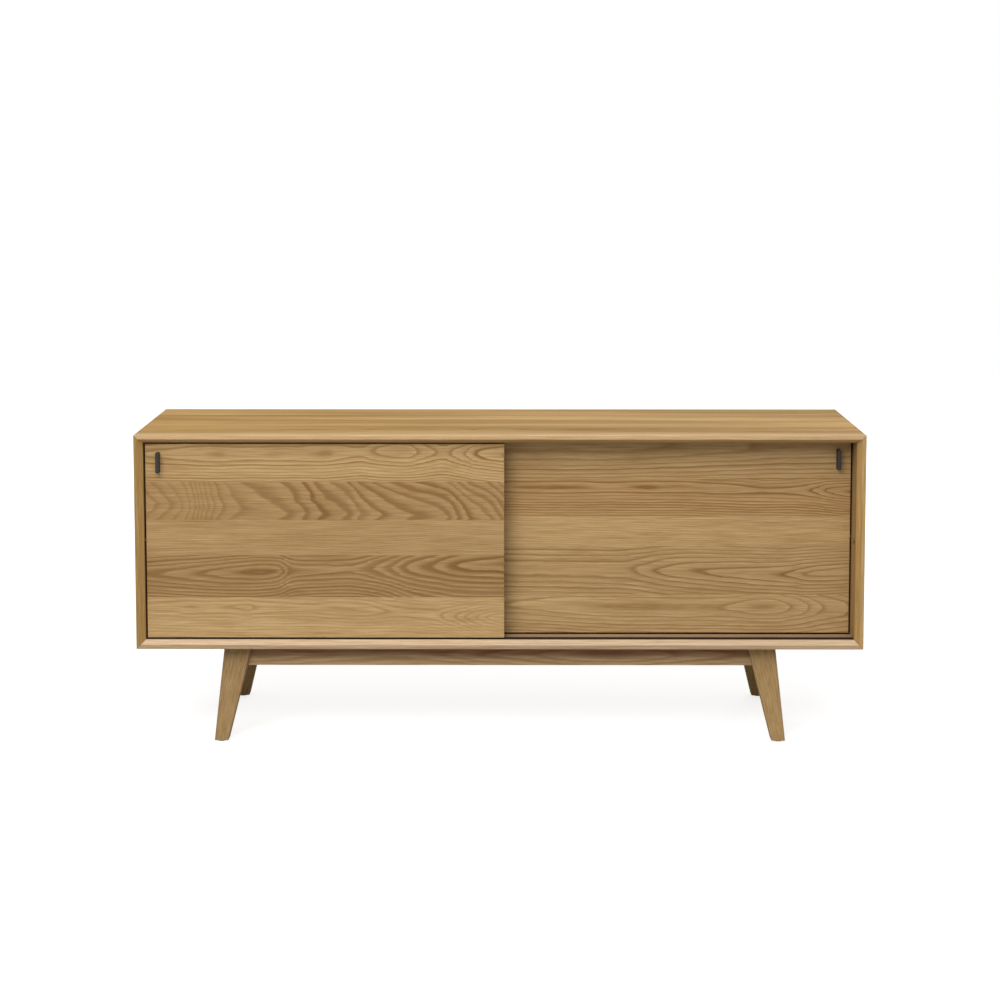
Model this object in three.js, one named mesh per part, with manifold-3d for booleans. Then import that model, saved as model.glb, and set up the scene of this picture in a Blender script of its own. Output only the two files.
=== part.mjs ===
// Sliding door cabinet: a mitred oak case on a splayed underframe, with two doors that run on rollers.
// Millimetres, +Z up, the front faces -Y, and the origin is on the floor under the middle of the cabinet.

import * as THREE from 'three';
import { mergeVertices } from 'three/addons/utils/BufferGeometryUtils.js';
import Module from 'manifold-3d';

const wasm = await Module();
wasm.setup();

// Driving dimensions of the cabinet
const caseWidth = 1600;
const caseDepth = 450;
const overallHeight = 688;
const caseHeight = 475;
const panelThickness = 18;
const seatGap = 0.3;
const cutOverrun = 2;
const edgeEase = 1.2;
const boardEase = 0.8;

// The walls' bevelled front edge, their mitres and the rebate for the back
const frontEdgeFlat = 9;
const bevelDepth = 16;
const mitreGap = 0.2;
const backThickness = 6;
const rebateDepth = 10;
const rebateWidth = 9;

// Doors
const doorThickness = 20;
const doorReveal = 5;
const doorSpacing = 30;
const doorOverlap = 20;
const doorSideGap = 4;
const doorTopGap = 4;
const doorBottomGap = 3;

// Grooves for the doors, and the channels that line them
const floorGrooveMargin = 1;
const floorGrooveDepth = 5;
const topGrooveDepth = 9;
const channelWall = 1.2;
const trackClearance = 1.5;

// Rollers in the doors' lower edge
const rollerRadius = 10;
const rollerWidth = 7;
const rollerRimWidth = 1.4;
const rollerWebRecess = 1.2;
const rollerHubRadius = 4.4;
const rollerCrownEase = 0.6;
const rollerInset = 90;
const rollerSideClearance = 0.7;
const rollerRoundClearance = 1.2;
const axleRadius = 2;
const axleClearance = 0.3;
const housingWidth = 13;
const housingLength = 34;
const housingHeight = 18;
const housingFlangeLength = 58;
const housingFlangeThickness = 2;
const housingFit = 0.3;

// Guide pins in the doors' upper edge
const guideInset = 60;
const guideBodyRadius = 6;
const guideBodyLength = 24;
const guideNoseRadius = 4;
const guideNoseEase = 1.2;
const guideEngagement = 4;
const guideFit = 0.3;

// Pulls and their screws
const pullWidth = 8;
const pullHeight = 45;
const pullProjection = 20;
const pullInset = 29;
const pullDrop = 40;
const pullCornerRadius = 2.4;
const pullEase = 1;
const pullScrewSpacing = 25;
const screwShankRadius = 1.9;
const screwHeadRadius = 4;
const screwHeadHeight = 2.4;
const screwGrip = 12;
const screwHoleClearance = 0.4;
const counterboreDepth = 3;

// Clear rubber buffers on the side panels
const bufferRadius = 5;
const bufferClearance = 0.5;

// Divider, shelves and shelf pins
const dividerThickness = 18;
const innerDoorClearance = 4;
const shelfThickness = 18;
const shelfSetback = 10;
const shelfSideClearance = 2;
const shelfBackClearance = 2;
const pinRowInset = 50;
const pinHolePitch = 32;
const pinHoleCount = 5;
const pinHoleDepth = 7.5;
const pinRadius = 2.5;
const pinHoleClearance = 0.3;
const pinCollarRadius = 4;
const pinCollarThickness = 1.2;
const pinReach = 10;

// Underframe
const legFootWidth = 30;
const legTopWidth = 61;
const legThickness = 34;
const legFootInset = 167;
const legTopInset = 189;
const legFootSetback = 16;
const legTopSetback = 40;
const legEdgeRadius = 3;
const railHeight = 48;
const railThickness = 16;
const railRearInset = 2;
const sideRailInset = 20;
const tenonLength = 12;
const tenonThickness = 8;
const tenonShoulder = 9;
const padRadius = 10;
const padHeight = 3;

// How finely round shapes are divided
const roundSegments = 24;
const smallRoundSegments = 16;
const cornerSegments = 2;

// Levels and planes that the sizes above give
const halfWidth = caseWidth / 2;
const halfDepth = caseDepth / 2;
const frontY = -halfDepth;
const caseBottom = overallHeight - caseHeight;
const floorLevel = caseBottom + panelThickness;
const ceilingLevel = overallHeight - panelThickness;
const innerHalfWidth = halfWidth - panelThickness;
const backFaceY = halfDepth - rebateDepth;
const frontDoorY = frontY + bevelDepth + doorReveal + doorThickness / 2;
const rearDoorY = frontDoorY + doorThickness + doorSpacing;
const interiorFrontY = rearDoorY + doorThickness / 2 + innerDoorClearance;
const doorWidth = innerHalfWidth - doorSideGap + doorOverlap / 2;
const doorHeight = ceilingLevel - doorTopGap - floorLevel - doorBottomGap;
const doorBottom = floorLevel + doorBottomGap;
const trackWidth = Math.max(rollerWidth, 2 * guideNoseRadius) + 2 * trackClearance;
const topGrooveWidth = trackWidth + 2 * (channelWall + seatGap);
const floorGrooveWidth = doorThickness + 2 * floorGrooveMargin;
const runningLevel = floorLevel - floorGrooveDepth + seatGap + channelWall;
const rollerLevel = runningLevel + seatGap + rollerRadius;
const interiorMiddle = (floorLevel + ceilingLevel) / 2;
const shelfBottom = interiorMiddle - shelfThickness / 2;
const pinLevel = shelfBottom - seatGap - pinRadius;
const shelfFrontY = interiorFrontY + shelfSetback;
const shelfBackY = backFaceY - shelfBackClearance;
const pinRowYs = [shelfFrontY + pinRowInset, shelfBackY - pinRowInset];
const screwHoleRadius = screwShankRadius + screwHoleClearance;
const counterboreRadius = screwHeadRadius + screwHoleClearance;

// Finishes
function finish(color, roughness, metalness) {
  return () => new THREE.MeshStandardMaterial({ color, roughness, metalness });
}
const oak = finish(0xb08a5a, 0.55, 0);
const oakPly = finish(0xa9875c, 0.65, 0);
const darkSteel = finish(0x2e2d2f, 0.45, 0.3);
const brightSteel = finish(0xb4b6b8, 0.35, 0.9);
const brownPlastic = finish(0x2a1b12, 0.5, 0);
const blackNylon = finish(0x2b2927, 0.4, 0);
const blackRubber = finish(0x1d1b1a, 0.8, 0);
const clearRubber = finish(0xb49468, 0.35, 0);

const cabinet = new THREE.Group();

// Adds a named piece to a group and gives it back, so that it can be placed.
function addPiece(group, name, geometry, material) {
  const mesh = new THREE.Mesh(geometry, material);
  mesh.name = name;
  group.add(mesh);
  return mesh;
}

// Turns a closed geometry into a solid that can be joined and cut.
function toSolid(geometry) {
  const bare = geometry.clone();
  bare.deleteAttribute('normal');
  bare.deleteAttribute('uv');
  const merged = mergeVertices(bare);
  return new wasm.Manifold(new wasm.Mesh({
    numProp: 3,
    vertProperties: new Float32Array(merged.attributes.position.array),
    triVerts: new Uint32Array(merged.index.array),
  }));
}

// Turns a solid back into a geometry with flat faces.
function toGeometry(solid) {
  const mesh = solid.getMesh();
  const indexed = new THREE.BufferGeometry();
  const vertices = new Float32Array(mesh.vertProperties);
  indexed.setAttribute('position', new THREE.BufferAttribute(vertices, mesh.numProp));
  indexed.setIndex(new THREE.BufferAttribute(new Uint32Array(mesh.triVerts), 1));
  const flat = indexed.toNonIndexed();
  flat.computeVertexNormals();
  return flat;
}

// Cuts every geometry of a list out of the first one.
function cut(geometry, cutters) {
  const solid = cutters.reduce((rest, cutter) => rest.subtract(toSolid(cutter)), toSolid(geometry));
  return toGeometry(solid);
}

// Joins two geometries into one closed body.
function join(first, second) {
  return toGeometry(toSolid(first).add(toSolid(second)));
}

// A block between two opposite corners.
function block([x0, y0, z0], [x1, y1, z1]) {
  const box = new THREE.BoxGeometry(x1 - x0, y1 - y0, z1 - z0);
  return box.translate((x0 + x1) / 2, (y0 + y1) / 2, (z0 + z1) / 2);
}

// A board centred on the origin with its long edges eased: width along X, height along Z, thickness along Y.
function easedBoard(width, height, thickness, ease) {
  const outline = new THREE.Shape();
  const right = width / 2 - ease;
  const top = height / 2 - ease;
  outline.moveTo(-right, -top);
  outline.lineTo(right, -top);
  outline.lineTo(right, top);
  outline.lineTo(-right, top);
  outline.closePath();
  const board = new THREE.ExtrudeGeometry(outline, {
    depth: thickness - 2 * ease,
    bevelEnabled: true,
    bevelThickness: ease,
    bevelSize: ease,
    bevelSegments: 1,
  });
  return board.translate(0, 0, ease - thickness / 2).rotateX(Math.PI / 2);
}

// A solid of revolution about Y from [radius, place along Y] points, lowest first.
function turned(points, segments) {
  return new THREE.LatheGeometry(points.map(([radius, along]) => new THREE.Vector2(radius, along)), segments);
}

// A round peg or hole along an axis, from its centre outwards both ways.
function roundBar(radius, length, axis, segments) {
  const bar = new THREE.CylinderGeometry(radius, radius, length, segments);
  if (axis === 'x') {
    return bar.rotateZ(Math.PI / 2);
  }
  return axis === 'z' ? bar.rotateX(Math.PI / 2) : bar;
}

// Case walls
// The section of a wall: the first value runs from the outer face inwards, the second from the front edge to
// the rear. The front edge is flat and then falls away in the bevel, and the inner face has the door grooves.
function wallSection(grooveWidth, grooveDepth) {
  const section = new THREE.Shape();
  section.moveTo(edgeEase, 0);
  section.lineTo(frontEdgeFlat, 0);
  section.lineTo(panelThickness, bevelDepth);
  if (grooveDepth > 0) {
    for (const doorY of [frontDoorY, rearDoorY]) {
      const start = doorY - frontY - grooveWidth / 2;
      const end = start + grooveWidth;
      section.lineTo(panelThickness, start);
      section.lineTo(panelThickness - grooveDepth, start);
      section.lineTo(panelThickness - grooveDepth, end);
      section.lineTo(panelThickness, end);
    }
  }
  section.lineTo(panelThickness, caseDepth - rebateDepth);
  section.lineTo(panelThickness - rebateWidth, caseDepth - rebateDepth);
  section.lineTo(panelThickness - rebateWidth, caseDepth);
  section.lineTo(edgeEase, caseDepth);
  section.lineTo(0, caseDepth - edgeEase);
  section.lineTo(0, edgeEase);
  section.closePath();
  return section;
}

// A wall with both ends mitred: its length runs along X, its outer face is on top, its front edge at y = 0.
function mitredWall(length, grooveWidth, grooveDepth) {
  const section = wallSection(grooveWidth, grooveDepth);
  const wall = new THREE.ExtrudeGeometry(section, { depth: length, bevelEnabled: false });
  const position = wall.attributes.position;
  for (let i = 0; i < position.count; i += 1) {
    const across = position.getX(i);
    const nearEnd = position.getZ(i) < length / 2;
    position.setZ(i, nearEnd ? across + mitreGap : length - across - mitreGap);
  }
  return wall.translate(0, 0, -length / 2).rotateY(Math.PI / 2);
}

// Where the shelf pins' holes stand above the middle of the case, lowest first.
function pinHoleHeights() {
  const heights = [];
  for (let i = 0; i < pinHoleCount; i += 1) {
    heights.push(pinLevel + (i - (pinHoleCount - 1) / 2) * pinHolePitch);
  }
  return heights;
}

// Cutters for the rows of pin holes that enter an upright face at faceX and run in the direction of side.
function pinHoleCutters(faceX, side) {
  const cutters = [];
  for (const y of pinRowYs) {
    for (const z of pinHoleHeights()) {
      const length = pinHoleDepth + cutOverrun;
      const hole = roundBar(pinRadius + pinHoleClearance, length, 'x', smallRoundSegments);
      cutters.push(hole.translate(faceX + side * (pinHoleDepth - cutOverrun) / 2, y, z));
    }
  }
  return cutters;
}

function buildCase() {
  const topWall = mitredWall(caseWidth, topGrooveWidth, topGrooveDepth);
  const top = addPiece(cabinet, 'top_panel', topWall, oak());
  top.position.set(0, frontY, overallHeight);

  const bottomWall = mitredWall(caseWidth, floorGrooveWidth, floorGrooveDepth);
  const bottom = addPiece(cabinet, 'bottom_panel', bottomWall, oak());
  bottom.position.set(0, frontY, caseBottom);
  bottom.rotation.y = Math.PI;

  for (const side of [-1, 1]) {
    const wall = mitredWall(caseHeight, 0, 0);
    wall.rotateY(side * Math.PI / 2);
    wall.translate(side * halfWidth, frontY, caseBottom + caseHeight / 2);
    const name = side < 0 ? 'left_side_panel' : 'right_side_panel';
    addPiece(cabinet, name, cut(wall, pinHoleCutters(side * innerHalfWidth, side)), oak());
  }

  const backWidth = 2 * (innerHalfWidth + rebateWidth - seatGap);
  const backHeight = ceilingLevel - floorLevel + 2 * (rebateWidth - seatGap);
  const back = easedBoard(backWidth, backHeight, backThickness, boardEase);
  addPiece(cabinet, 'back_panel', back, oakPly())
    .position.set(0, backFaceY + seatGap + backThickness / 2, interiorMiddle);
}

// Divider and shelves
function buildInterior() {
  const dividerDepth = backFaceY - interiorFrontY;
  const dividerHeight = ceilingLevel - floorLevel - 2 * seatGap;
  const divider = easedBoard(dividerDepth, dividerHeight, dividerThickness, boardEase)
    .rotateZ(Math.PI / 2)
    .translate(0, interiorFrontY + dividerDepth / 2, interiorMiddle);
  const holes = [
    ...pinHoleCutters(-dividerThickness / 2, 1),
    ...pinHoleCutters(dividerThickness / 2, -1),
  ];
  addPiece(cabinet, 'centre_divider', cut(divider, holes), oak());

  const bayWidth = innerHalfWidth - dividerThickness / 2;
  const shelfWidth = bayWidth - 2 * shelfSideClearance;
  const shelfDepth = shelfBackY - shelfFrontY;
  for (const side of [-1, 1]) {
    const sideName = side < 0 ? 'left' : 'right';
    const shelf = easedBoard(shelfWidth, shelfDepth, shelfThickness, edgeEase).rotateX(Math.PI / 2);
    const bayMiddle = side * (innerHalfWidth + dividerThickness / 2) / 2;
    addPiece(cabinet, `${sideName}_shelf`, shelf, oak())
      .position.set(bayMiddle, shelfFrontY + shelfDepth / 2, interiorMiddle);
    for (const [row, y] of pinRowYs.entries()) {
      const rowName = row === 0 ? 'front' : 'rear';
      addShelfPin(`${sideName}_shelf_pin_outer_${rowName}`, side * innerHalfWidth, y, -side);
      addShelfPin(`${sideName}_shelf_pin_inner_${rowName}`, side * dividerThickness / 2, y, side);
    }
  }
}

// A shelf pin seated in its hole: the collar lies on the face at faceX and the nose points towards direction.
function addShelfPin(name, faceX, y, direction) {
  const stem = pinHoleDepth - seatGap;
  const pin = turned([
    [0, -stem],
    [pinRadius, -stem],
    [pinRadius, seatGap],
    [pinCollarRadius, seatGap],
    [pinCollarRadius, seatGap + pinCollarThickness],
    [pinRadius, seatGap + pinCollarThickness],
    [pinRadius, pinReach],
    [0, pinReach],
  ], smallRoundSegments);
  pin.rotateZ(-direction * Math.PI / 2);
  addPiece(cabinet, name, pin, brightSteel()).position.set(faceX, y, pinLevel);
}

// Channels
// A channel's section is a U, open upwards: it fills its groove but for the seat gap, and the track in it is
// as wide in every channel.
function channel(grooveWidth, depth) {
  const outer = grooveWidth / 2 - seatGap;
  const inner = trackWidth / 2;
  const section = new THREE.Shape();
  section.moveTo(-outer, 0);
  section.lineTo(outer, 0);
  section.lineTo(outer, depth);
  section.lineTo(inner, depth);
  section.lineTo(inner, channelWall);
  section.lineTo(-inner, channelWall);
  section.lineTo(-inner, depth);
  section.lineTo(-outer, depth);
  section.closePath();
  const length = 2 * (innerHalfWidth - seatGap);
  return new THREE.ExtrudeGeometry(section, { depth: length, bevelEnabled: false })
    .translate(0, 0, -length / 2)
    .rotateX(Math.PI / 2)
    .rotateZ(Math.PI / 2);
}

function buildChannels() {
  for (const [doorY, rowName] of [[frontDoorY, 'front'], [rearDoorY, 'rear']]) {
    const lower = channel(floorGrooveWidth, floorGrooveDepth - seatGap);
    addPiece(cabinet, `${rowName}_floor_channel`, lower, brownPlastic())
      .position.set(0, doorY, floorLevel - floorGrooveDepth + seatGap);
    const upper = channel(topGrooveWidth, topGrooveDepth - seatGap).rotateX(Math.PI);
    addPiece(cabinet, `${rowName}_top_channel`, upper, brownPlastic())
      .position.set(0, doorY, ceilingLevel + topGrooveDepth - seatGap);
  }
}

// Buffers that the doors' ends come to rest beside.
function buildBuffers() {
  const thickness = doorSideGap - bufferClearance - seatGap;
  for (const side of [-1, 1]) {
    for (const [doorY, rowName] of [[frontDoorY, 'front'], [rearDoorY, 'rear']]) {
      const buffer = roundBar(bufferRadius, thickness, 'x', smallRoundSegments);
      const sideName = side < 0 ? 'left' : 'right';
      addPiece(cabinet, `${sideName}_${rowName}_door_buffer`, buffer, clearRubber())
        .position.set(side * (innerHalfWidth - seatGap - thickness / 2), doorY, interiorMiddle);
    }
  }
}

// Doors
// A door's own frame: x = 0 at its middle, y = 0 at its middle thickness, z = 0 at its lower edge.
// side says at which end its outer edge, with the pull, lies.
function buildDoor(name, side, doorY) {
  const door = new THREE.Group();
  door.position.set(side * (innerHalfWidth - doorSideGap - doorWidth / 2), doorY, doorBottom);
  cabinet.add(door);

  const pullX = side * (doorWidth / 2 - pullInset);
  const pullZ = doorHeight - pullDrop;
  const screwZs = [pullZ - pullScrewSpacing / 2, pullZ + pullScrewSpacing / 2];
  const panel = easedBoard(doorWidth, doorHeight, doorThickness, boardEase).translate(0, 0, doorHeight / 2);
  const cutters = [];
  for (const z of screwZs) {
    const hole = roundBar(screwHoleRadius, doorThickness + 2 * cutOverrun, 'y', smallRoundSegments);
    cutters.push(hole.translate(pullX, 0, z));
    const counterbore = roundBar(counterboreRadius, counterboreDepth + cutOverrun, 'y', smallRoundSegments);
    cutters.push(counterbore.translate(pullX, (doorThickness + cutOverrun - counterboreDepth) / 2, z));
  }

  for (const [end, endName] of [[side, 'outer'], [-side, 'inner']]) {
    const rollerX = end * (doorWidth / 2 - rollerInset);
    cutters.push(...rollerPocketCutters(rollerX));
    addRoller(door, `${name}_${endName}_roller`, rollerX);
    const guideX = end * (doorWidth / 2 - guideInset);
    const holeDepth = guideBodyLength + guideFit + cutOverrun;
    const guideHole = roundBar(guideBodyRadius + guideFit, holeDepth, 'z', roundSegments);
    cutters.push(guideHole.translate(guideX, 0, doorHeight - holeDepth / 2 + cutOverrun));
    addTopGuide(door, `${name}_${endName}_top_guide`, guideX);
  }
  addPiece(door, `${name}_panel`, cut(panel, cutters), oak());

  addPull(door, `${name}_pull`, pullX, pullZ, screwZs);
  for (const [index, z] of screwZs.entries()) {
    const screwName = `${name}_pull_screw_${index === 0 ? 'lower' : 'upper'}`;
    addPiece(door, screwName, pullScrew(), brightSteel())
      .position.set(pullX, doorThickness / 2 - counterboreDepth + seatGap + screwHeadHeight, z);
  }
}

// The stepped pocket that a roller's housing fills: long and shallow for its flange, deep for its body.
function rollerPocketCutters(rollerX) {
  const halfPocket = housingWidth / 2 + housingFit;
  const pocket = (length, height) => block(
    [rollerX - length / 2 - housingFit, -halfPocket, -cutOverrun],
    [rollerX + length / 2 + housingFit, halfPocket, height + housingFit],
  );
  return [pocket(housingFlangeLength, housingFlangeThickness), pocket(housingLength, housingHeight)];
}

// A roller with its housing and axle, in the lower edge of a door.
function addRoller(door, name, rollerX) {
  const half = housingWidth / 2;
  const flange = block(
    [-housingFlangeLength / 2, -half, 0],
    [housingFlangeLength / 2, half, housingFlangeThickness],
  );
  const body = block([-housingLength / 2, -half, 0], [housingLength / 2, half, housingHeight]);
  const axleLevel = rollerLevel - doorBottom;
  const slotReach = rollerRadius + rollerRoundClearance;
  const slotHalf = rollerWidth / 2 + rollerSideClearance;
  const slot = block([-slotReach, -slotHalf, -cutOverrun], [slotReach, slotHalf, axleLevel + slotReach]);
  const boreRadius = axleRadius + axleClearance;
  const bore = roundBar(boreRadius, housingWidth + 2 * cutOverrun, 'y', smallRoundSegments)
    .translate(0, 0, axleLevel);
  addPiece(door, `${name}_housing`, cut(join(flange, body), [slot, bore]), brownPlastic())
    .position.set(rollerX, 0, 0);

  const axle = roundBar(axleRadius, housingWidth, 'y', smallRoundSegments);
  addPiece(door, `${name}_axle`, axle, brightSteel()).position.set(rollerX, 0, axleLevel);

  addPiece(door, name, rollerWheel(boreRadius), blackNylon()).position.set(rollerX, 0, axleLevel);
}

// A roller: a rim and a hub joined by a thinner web, turned about its axle along Y.
function rollerWheel(boreRadius) {
  const half = rollerWidth / 2;
  const web = half - rollerWebRecess;
  const rim = rollerRadius - rollerRimWidth;
  const right = [
    [boreRadius, half],
    [rollerHubRadius, half],
    [rollerHubRadius, web],
    [rim, web],
    [rim, half],
    [rollerRadius - rollerCrownEase, half],
    [rollerRadius, half - rollerCrownEase],
  ];
  const left = right.map(([radius, along]) => [radius, -along]);
  return turned([...left, ...right.reverse(), left[0]], roundSegments);
}

// A guide pin: its body fills a hole in the upper edge and its nose stands up into the top channel.
function addTopGuide(door, name, guideX) {
  const noseTop = doorTopGap + guideEngagement;
  const guide = turned([
    [0, -guideBodyLength],
    [guideBodyRadius, -guideBodyLength],
    [guideBodyRadius, 0],
    [guideNoseRadius, 0],
    [guideNoseRadius, noseTop - guideNoseEase],
    [guideNoseRadius - guideNoseEase, noseTop],
    [0, noseTop],
  ], roundSegments).rotateX(Math.PI / 2);
  addPiece(door, name, guide, brownPlastic()).position.set(guideX, 0, doorHeight);
}

// A pull: an upright bar with rounded corners that stands out from the door's face.
function addPull(door, name, pullX, pullZ, screwZs) {
  const right = pullWidth / 2 - pullEase;
  const top = pullHeight / 2 - pullEase;
  const radius = pullCornerRadius - pullEase;
  const outline = new THREE.Shape();
  outline.absarc(right - radius, -top + radius, radius, -Math.PI / 2, 0);
  outline.absarc(right - radius, top - radius, radius, 0, Math.PI / 2);
  outline.absarc(-right + radius, top - radius, radius, Math.PI / 2, Math.PI);
  outline.absarc(-right + radius, -top + radius, radius, Math.PI, 3 * Math.PI / 2);
  outline.closePath();
  const bar = new THREE.ExtrudeGeometry(outline, {
    depth: pullProjection - seatGap - 2 * pullEase,
    bevelEnabled: true,
    bevelThickness: pullEase,
    bevelSize: pullEase,
    bevelSegments: cornerSegments,
    curveSegments: cornerSegments * 2,
  }).translate(0, 0, pullEase).rotateX(Math.PI / 2);
  const holeLength = screwGrip + screwHoleClearance + cutOverrun;
  const holes = screwZs.map((z) => roundBar(screwHoleRadius, holeLength, 'y', smallRoundSegments)
    .translate(0, cutOverrun - holeLength / 2, z - pullZ));
  addPiece(door, name, cut(bar, holes), darkSteel())
    .position.set(pullX, -doorThickness / 2 - seatGap, pullZ);
}

// A pull's screw: the back of its head is at y = 0 and its shank points to the front.
function pullScrew() {
  const reach = doorThickness - counterboreDepth + seatGap + screwHeadHeight + screwGrip;
  return turned([
    [0, 0],
    [screwHeadRadius, 0],
    [screwHeadRadius, screwHeadHeight],
    [screwShankRadius, screwHeadHeight],
    [screwShankRadius, reach],
    [0, reach],
  ], smallRoundSegments).rotateX(Math.PI);
}

// Underframe
// Between the floor and the case a leg's edges run straight, so each is a mix of its foot and top values.
function mixed(atFloor, atCase, z) {
  return atFloor + (atCase - atFloor) * z / caseBottom;
}
const legOuterX = (z) => halfWidth - mixed(legFootInset, legTopInset, z);
const legInnerX = (z) => legOuterX(z) - mixed(legFootWidth, legTopWidth, z);
const legFrontY = (z) => halfDepth - mixed(legFootSetback, legTopSetback, z);
const legInnerY = (z) => legFrontY(z) - legThickness;

// The outline of a leg at one height, with rounded corners, for the leg in the quarter of the given signs.
function legOutline(z, signX, signY) {
  const corners = [
    [legOuterX(z) - legEdgeRadius, legFrontY(z) - legEdgeRadius],
    [legInnerX(z) + legEdgeRadius, legFrontY(z) - legEdgeRadius],
    [legInnerX(z) + legEdgeRadius, legInnerY(z) + legEdgeRadius],
    [legOuterX(z) - legEdgeRadius, legInnerY(z) + legEdgeRadius],
  ];
  const points = [];
  for (const [corner, [x, y]] of corners.entries()) {
    for (let i = 0; i <= cornerSegments; i += 1) {
      const angle = (corner + i / cornerSegments) * Math.PI / 2;
      const cornerX = x + legEdgeRadius * Math.cos(angle);
      const cornerY = y + legEdgeRadius * Math.sin(angle);
      points.push(new THREE.Vector2(signX * cornerX, signY * cornerY));
    }
  }
  return signX * signY < 0 ? points.reverse() : points;
}

// A closed body between two outlines with as many points, both anticlockwise seen from above.
function loft(lower, lowerZ, upper, upperZ) {
  const count = lower.length;
  const vertices = [
    ...lower.flatMap((point) => [point.x, point.y, lowerZ]),
    ...upper.flatMap((point) => [point.x, point.y, upperZ]),
  ];
  const faces = [];
  for (let i = 0; i < count; i += 1) {
    const next = (i + 1) % count;
    faces.push(i, next, count + next, i, count + next, count + i);
    if (i > 0 && next > 0) {
      faces.push(0, next, i, count, count + i, count + next);
    }
  }
  const body = new THREE.BufferGeometry();
  body.setAttribute('position', new THREE.Float32BufferAttribute(vertices, 3));
  body.setIndex(faces);
  return body;
}

// A rail's plate between two sloping ends: endAt gives half its length at a height.
function railPlate(endAt, low, high, thickness) {
  const outline = new THREE.Shape();
  outline.moveTo(-endAt(low), low);
  outline.lineTo(endAt(low), low);
  outline.lineTo(endAt(high), high);
  outline.lineTo(-endAt(high), high);
  outline.closePath();
  return new THREE.ExtrudeGeometry(outline, { depth: thickness, bevelEnabled: false })
    .translate(0, 0, -thickness / 2)
    .rotateX(Math.PI / 2);
}

// A rail with a tenon at each end, and the larger shape that cuts its two mortises.
function railWithTenons(legFaceAt) {
  const low = caseBottom - railHeight;
  const high = caseBottom - seatGap;
  const body = railPlate((z) => legFaceAt(z) - seatGap, low, high, railThickness);
  const tenonLow = low + tenonShoulder;
  const tenonHigh = high - tenonShoulder;
  const tenon = railPlate((z) => legFaceAt(z) + tenonLength, tenonLow, tenonHigh, tenonThickness);
  const mortise = railPlate(
    (z) => legFaceAt(z) + tenonLength + seatGap,
    tenonLow - seatGap,
    tenonHigh + seatGap,
    tenonThickness + 2 * seatGap,
  );
  return { rail: join(body, tenon), mortise };
}

function buildUnderframe() {
  const railY = legInnerY(caseBottom - railHeight) + railRearInset + railThickness / 2;
  const sideRailX = legOuterX(caseBottom) - sideRailInset - railThickness / 2;
  const mortises = [];
  for (const side of [-1, 1]) {
    const long = railWithTenons(legInnerX);
    addPiece(cabinet, side < 0 ? 'front_rail' : 'rear_rail', long.rail.translate(0, side * railY, 0), oak());
    mortises.push(long.mortise.translate(0, side * railY, 0));
    const short = railWithTenons(legInnerY);
    short.rail.rotateZ(Math.PI / 2).translate(side * sideRailX, 0, 0);
    addPiece(cabinet, side < 0 ? 'left_rail' : 'right_rail', short.rail, oak());
    mortises.push(short.mortise.rotateZ(Math.PI / 2).translate(side * sideRailX, 0, 0));
  }

  const footLevel = padHeight + seatGap;
  const legTop = caseBottom - seatGap;
  for (const [signY, rowName] of [[-1, 'front'], [1, 'rear']]) {
    for (const [signX, sideName] of [[-1, 'left'], [1, 'right']]) {
      const blank = loft(
        legOutline(footLevel, signX, signY),
        footLevel,
        legOutline(legTop, signX, signY),
        legTop,
      );
      addPiece(cabinet, `${rowName}_${sideName}_leg`, cut(blank, mortises), oak());
      const footX = signX * (legOuterX(0) + legInnerX(0)) / 2;
      const footY = signY * (legFrontY(0) + legInnerY(0)) / 2;
      const pad = roundBar(padRadius, padHeight, 'z', roundSegments);
      addPiece(cabinet, `${rowName}_${sideName}_glide_pad`, pad, blackRubber())
        .position.set(footX, footY, padHeight / 2);
    }
  }
}

buildCase();
buildInterior();
buildChannels();
buildBuffers();
buildDoor('left_door', -1, frontDoorY);
buildDoor('right_door', 1, rearDoorY);
buildUnderframe();

export default cabinet;
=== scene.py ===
import math
import random
from collections import namedtuple

import bpy
import numpy as np
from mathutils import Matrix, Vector


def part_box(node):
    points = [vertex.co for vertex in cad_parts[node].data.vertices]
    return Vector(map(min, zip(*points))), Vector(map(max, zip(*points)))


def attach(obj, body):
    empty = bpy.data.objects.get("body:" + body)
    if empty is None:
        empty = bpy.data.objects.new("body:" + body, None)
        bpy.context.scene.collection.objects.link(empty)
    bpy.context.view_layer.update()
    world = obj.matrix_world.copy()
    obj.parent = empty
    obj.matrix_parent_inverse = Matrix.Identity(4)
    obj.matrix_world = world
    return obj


# The looks of a sliding door cabinet: figured oak, coated pulls, plastic channels, small screws and a studio.
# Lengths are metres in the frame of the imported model, with the front facing -Y.

bl_info = {
    "name": "Sliding Door Cabinet Looks",
    "version": (1, 0, 0),
    "blender": (4, 5, 0),
    "location": "3D View > Sidebar > Cabinet",
    "description": "Oak, metal and plastic finishes, small screws and a studio for a sliding door cabinet",
    "category": "Object",
}

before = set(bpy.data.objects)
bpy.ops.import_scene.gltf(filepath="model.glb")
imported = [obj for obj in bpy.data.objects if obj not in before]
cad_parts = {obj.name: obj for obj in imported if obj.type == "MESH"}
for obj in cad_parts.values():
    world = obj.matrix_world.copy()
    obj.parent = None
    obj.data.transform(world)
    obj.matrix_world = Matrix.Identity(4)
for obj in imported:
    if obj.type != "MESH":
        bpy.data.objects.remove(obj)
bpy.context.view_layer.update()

# One board of a glued-up panel. start is where it begins across the panel and axis the line that its rings
# close around. ring is the width of one ring. heart is how many rings lie between the face and the heart of
# the tree. point is how pointed their arches are, from 1 for straight ones to 2 for round ones. strength is
# how dark the rings' dark bands are, band their share of a ring and fade how much of them is lost 40 mm from
# the axis. tone and light pick its oak. A measure is a number, or points of (share of the length, value). A
# heart of one pair (rings, spread) wanders by itself.
Board = namedtuple("Board", "start axis ring heart strength point band fade tone light")

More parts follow.
